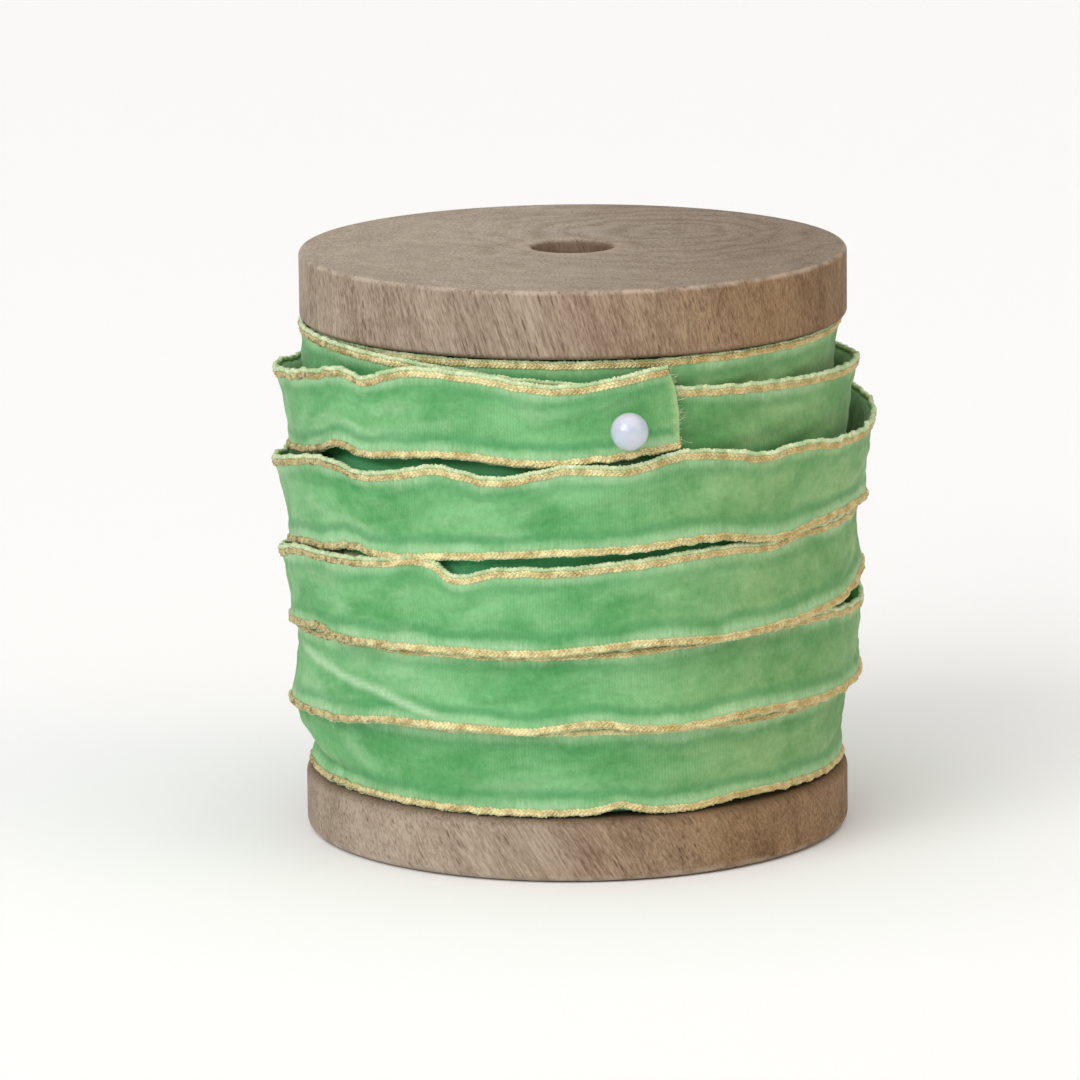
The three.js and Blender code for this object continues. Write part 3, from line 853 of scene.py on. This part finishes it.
def gold_braid(name, edges, first, last, side, seed, sag, phase_start):
    """A flat braid of three strands along one edge: each strand swings across in a sine wave and in and
    out in a wave of half the length, a third of a wave behind the one before."""
    strands, swing, lift = 3, 0.36, 0.15
    line, across, out, length = edge_line(edges, first, last, side, 0.19, seed, sag)
    line = line - (0.2 if side > 0 else 0.0) * across + 0.3 * out
    lines = []
    for k in range(strands):
        phase = TAU * ((length + phase_start) / (strands * STITCH_LENGTH) + k / strands)
        lines.append(line + swing * np.sin(phase)[:, None] * across + lift * np.sin(2 * phase)[:, None] * out)
    return tubes(name, lines, [out] * strands, 0.27, 4, GOLD)


def selvedge(name, edges, first, last, side, seed, sag, phase_start):
    """The pale fuzzy lip outside the braid: a strand that beads once for each stitch and wanders a little.
    It is fuller along the upper edge."""
    line, across, out, length = edge_line(edges, first, last, side, 0.3, seed, sag)
    shake = np.random.default_rng(seed + 7).normal(0, 0.028, (2, len(length)))
    bead = np.sin(TAU * (length + phase_start) / STITCH_LENGTH)
    reach, thick = (0.55, 0.44) if side > 0 else (0.5, 0.18)
    if edges is third_edges:
        reach, thick = 0.35, 0.3
    thread = line + (reach + 0.05 * bead + shake[0])[:, None] * across + (0.06 + shake[1])[:, None] * out
    return tubes(name, [thread], [out], thick * (1 + 0.16 * bead) + shake[0], 5, SELVEDGE)


def edge_set(prefix, edges, ends, last, seed, sag):
    """Both edges of a strip, a braid and a lip on each side. ends are where the upper and lower ones start,
    and the stitches count on from the end of the strip's layer."""
    pieces = []
    for side, first, word in ((1, ends[0], "upper"), (-1, ends[1], "lower")):
        done = 0.0
        if edges is outer_edges and first > 0:
            cut = CUT_TURN + (CUT_SLANT if side > 0 else 0)
            done = edge_line(edges, cut, first, side, 0.5, seed, sag)[3][-1]
        if edges is third_edges:
            done = edge_line(second_edges, SECOND_START_TURN, first, side, 0.5, seed, sag)[3][-1]
        for make, part in ((gold_braid, "braid"), (selvedge, "selvedge")):
            piece = make(f"{prefix}_{word}_{part}", edges, first, last, side, seed, sag, done)
            pieces.append(piece)
    return pieces


def strip(prefix, edges, first, last, layer, sag, seed=1, spacing=0.9, start_length=0.0, slant=0.0):
    """A strip of ribbon between two turn angles: its velvet and its edges, standing for a layer's CAD
    nodes. slant cuts away the upper corner of the first end, by so many degrees of turn. Returns its pieces
    and its length."""
    turn = firm_ends(np.linspace(first, last, steps_between(first, last, spacing) + 1))[:, None]
    across = np.linspace(-1, 1, 25)[None, :]
    near = np.clip(1 - (turn - first) / 14, 0, 1)
    turn = turn + slant * ((across + 1) / 2) ** 4 * near
    surface, ahead, behind = (lay(edges, turn + more, across, sag, seed) for more in (0, 0.3, -0.3))
    none = 0 * turn * across
    marks = {
        "crease": crease_mark(turn, across) if edges is outer_edges else none,
        # painted light for the gaps, on the second layer's lower turns
        "gap_light": np.clip((-turn - 230) / 40, 0, 1) + none if edges is second_edges else none,
    }
    velvet = web(f"{prefix}_velvet_strip", surface, ahead - behind, start_length, marks)
    edgings = edge_set(prefix, edges, (first + slant, first), last, seed, sag)
    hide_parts(f"{layer}_velvet")
    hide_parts(f"{layer}_upper_edge")
    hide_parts(f"{layer}_lower_edge")
    length = along_lengths(surface[:, across.size // 2])[-1]
    return [velvet] + edgings, length


tail, tail_length = strip(
    "free_end", outer_edges, CUT_TURN, TAIL_ROOT_TURN, "tail", OUTER_SAG,
    spacing=0.6, slant=CUT_SLANT)
second, second_length = strip(
    "second_turns", second_edges, SECOND_START_TURN, SECOND_END_TURN, "second_layer",
    INNER_SAG, seed=INNER_SEED, start_length=SECOND_PATTERN_START)
third, _ = strip(
    "third_turn", third_edges, SECOND_END_TURN, THIRD_END_TURN, "third_layer",
    INNER_SAG, seed=INNER_SEED, start_length=SECOND_PATTERN_START + second_length)
outer, _ = strip(
    "outer_turns", outer_edges, TAIL_ROOT_TURN, OUTER_END_TURN, "outer_layer",
    OUTER_SAG, start_length=tail_length)
for piece in second + third + outer:
    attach(piece, "spool")


def frayed_threads(count=80, points=6):
    """Loose threads at the cut end: each leaves the cut along the ribbon and bends away from it in a
    quarter wave, by its own random reach and lean."""
    random = np.random.default_rng(5)
    a = random.uniform(-1.0, 1.04, count)
    start = CUT_TURN + CUT_SLANT * ((a + 1) / 2) ** 4
    foot = lay(outer_edges, (start + 0.5)[:, None], a[:, None], OUTER_SAG)[:, 0]
    ahead = lay(outer_edges, start[:, None], a[:, None], OUTER_SAG)[:, 0]
    go = unit(ahead - foot)
    out = unit(foot * [1, 1, 0])
    up = np.cross(go, out)
    reach = 0.45 + random.gamma(2.0, 0.28, count)
    lean, lift = random.normal(0, 0.5, count), random.normal(0, 0.25, count)
    depth = random.uniform(-0.35, 0.35, count)
    foot, go, out, up = (v[:, None] for v in (foot, go, out, up))
    reach, lean, lift, depth = (v[:, None, None] for v in (reach, lean, lift, depth))
    t = np.linspace(0, 1, points)[None, :, None]
    curl = np.sin(t * math.pi / 2) ** 2
    lines = foot + depth * out + reach * t * go + reach * curl * (lean * up + lift * out)
    return tubes("frayed_threads", list(lines), np.repeat(out, points, axis=1), 0.065, 3, SELVEDGE)


threads = frayed_threads()
for piece in tail + [threads]:
    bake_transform(piece)


def hidden_turns():
    """The turns under the ones that show: a ring whose outside swells once for each turn of ribbon."""
    gap, corner, inside = 0.3, 0.4, 19.6
    low, high = BASE_TOP + gap, LID_UNDERSIDE - gap
    height = np.linspace(low + corner, high - corner, 90)
    swell = 0.25 * np.abs(np.sin(math.pi * (height - low) / TURN_PITCH)) ** 0.5
    radius = np.where(height > 69, 40.2, np.where(height > 26, 42.4, 41.2)) + swell - 0.25
    profile = [(inside, low), (radius[0] - corner, low), *zip(radius, height),
               (radius[-1] - corner, high), (inside, high), (inside, low)]
    across = ((np.array(profile)[:, 1] - low) % TURN_PITCH - TURN_PITCH / 2) / 10
    # painted light: the whole ring is marked, as it shows only in the gaps between turns
    gap_light = {"gap_light": np.ones(len(profile))}
    return turned("hidden_turns", profile, VELVET, segments=128, marks=gap_light, uv=across)


stand_in(hidden_turns(), "inner_layers", "spool")


# -------------------------------- the pin


def place_on_pin(piece, node):
    """Turns the piece from the Z axis to the way the pin leaves in, and puts it at the pearl's centre."""
    joint = next(j for j in frame["joints"] if j["name"] == "pin_pull")
    out = Vector(joint["axis"]).normalized()
    spin = Vector((0, 0, 1)).rotation_difference(out).to_matrix().to_4x4()
    piece.data.transform(Matrix.Translation(Vector(PEARL_CENTRE * MM)) @ spin)
    stand_in(piece, node, "pearl_pin")


def pearl_section():
    """A bead's section: a sphere drilled from behind for the shank."""
    hole, axis, floor = 0.5, 0.02, 2.1 - PEARL_RADIUS
    mouth = math.degrees(math.asin(hole / PEARL_RADIUS))
    ball = arc((0, 0), PEARL_RADIUS, -90 + mouth, 89.5, 72)
    return np.concatenate([[[axis, floor], [hole, floor]], ball, [[axis, PEARL_RADIUS]]])


def spun(name, profile, material, segments=96):
    """A turned piece that closes on the axis at both ends."""
    radius, height = np.asarray(profile, dtype=float).T
    angle = np.arange(segments) * TAU / segments
    ring = np.stack([radius[:, None] * np.cos(angle), radius[:, None] * np.sin(angle),
                     np.broadcast_to(height[:, None], (len(radius), segments))], axis=-1).reshape(-1, 3)
    ends = np.array([[0, 0, height[0]], [0, 0, height[-1]]])
    n = len(ring)
    i = np.arange(segments)
    j = (i + 1) % segments
    first = np.stack([np.full(segments, n), j, i], axis=1)
    last = np.stack([np.full(segments, n + 1), n - segments + i, n - segments + j], axis=1)
    faces = grid_faces(len(radius), segments, wrap_columns=True)[:, ::-1].tolist()
    faces += first.tolist() + last.tolist()
    return make_piece(name, np.concatenate([ring, ends]), faces, material)


place_on_pin(spun("pearl_head", pearl_section(), PEARL), "pearl_bead")

shank_radius = 0.4
tip = np.stack([shank_radius * np.linspace(0.06, 1, 12) ** 0.75, np.linspace(-38, -34.5, 12)], axis=-1)
body = np.linspace((shank_radius, -34), (shank_radius, -PEARL_RADIUS + 2), 20)
shank = spun("pin_wire", np.concatenate([tip, body]), STEEL, segments=24)
place_on_pin(shank, "pin_shank")


# -------------------------------- studio


def camera():
    """The camera stands in front, a little above, and looks down at the middle of the spool. Where the
    middle falls in the picture is set by turning the camera, with no shift."""
    distance, raise_, roll, focal = 1.149, math.radians(11.57), 0.0093, 7019.4
    aside, above = 34.9, 6.7
    target = Vector((0, 0, SPOOL_HEIGHT * MM / 2))
    back = Vector((0, -math.cos(raise_), math.sin(raise_)))
    right, up = Vector((1, 0, 0)), Vector((0, math.sin(raise_), math.cos(raise_)))
    right, up = math.cos(roll) * right - math.sin(roll) * up, math.sin(roll) * right + math.cos(roll) * up
    forward = (-back - right * (aside / focal) - up * (above / focal)).normalized()
    right = (right - right.dot(forward) * forward).normalized()
    up = right.cross(forward)
    data = bpy.data.cameras.new("studio_camera")
    data.sensor_width, data.lens = 36.0, 36.0 * focal / 1080
    data.clip_start, data.clip_end = 0.05, 50
    view = placed("studio_camera", data)
    rotation = Matrix((right, up, -forward)).transposed()
    view.matrix_world = Matrix.Translation(target + back * distance) @ rotation.to_4x4()
    bpy.context.scene.camera = view


def lamp(name, kind, azimuth, elevation, energy, colour, **settings):
    """A light that aims at the spool: a soft sun, or a window pane, which is a small area. Azimuth is
    measured to the left of the camera."""
    data = bpy.data.lights.new(name, kind)
    data.energy, data.color = energy, colour
    for key, value in settings.items():
        setattr(data, key, value)
    light = placed(name, data)
    a, e = math.radians(azimuth), math.radians(elevation)
    towards = Vector((-math.sin(a) * math.cos(e), -math.cos(a) * math.cos(e), math.sin(e)))
    if kind == "AREA":
        light.location = towards * 1.2 + Vector((0, 0, 0.07))
    light.rotation_mode = "QUATERNION"
    light.rotation_quaternion = towards.to_track_quat("Z", "Y")


def floor():
    """A plain pale floor."""
    material, shader = new_material("pale_floor", Roughness=0.9, Specular_IOR_Level=0.1)
    speck = times(noise(object_at(), 6.0, detail=2.0), 0.05)
    colour = mix(speck, (0.93, 0.93, 0.93, 1), (0.86, 0.86, 0.86, 1))
    tree.links.new(colour, shader.inputs["Base Color"])
    half, below = 5000.0, -0.15
    corners = [(-half, -half, below), (half, -half, below), (half, half, below), (-half, half, below)]
    make_piece("pale_floor", np.array(corners), [[0, 1, 2, 3]], material)


camera()
floor()
lamp("key_light", "SUN", 42, 34, 1.12, (1.0, 0.99, 0.985), angle=math.radians(40))
lamp("top_light", "SUN", 10, 80, 1.42, (1.0, 0.995, 0.99), angle=math.radians(90))
lamp("warm_fill", "SUN", -68, 22, 0.45, (1.0, 0.8, 0.55), angle=math.radians(40))
lamp("window_left", "AREA", 42, 21, 0.7, (1.0, 1.0, 1.0), shape="RECTANGLE", size=0.24, size_y=0.2)
lamp("window_right", "AREA", 14, 22, 0.7, (1.0, 1.0, 1.0), shape="RECTANGLE", size=0.2, size_y=0.2)
world = bpy.data.worlds.new("studio")
world.use_nodes = True
world.node_tree.nodes["Background"].inputs["Color"].default_value = (1.0, 0.99, 0.98, 1)
world.node_tree.nodes["Background"].inputs["Strength"].default_value = 0.35
bpy.context.scene.world = world
bpy.context.scene.view_settings.view_transform = "Standard"
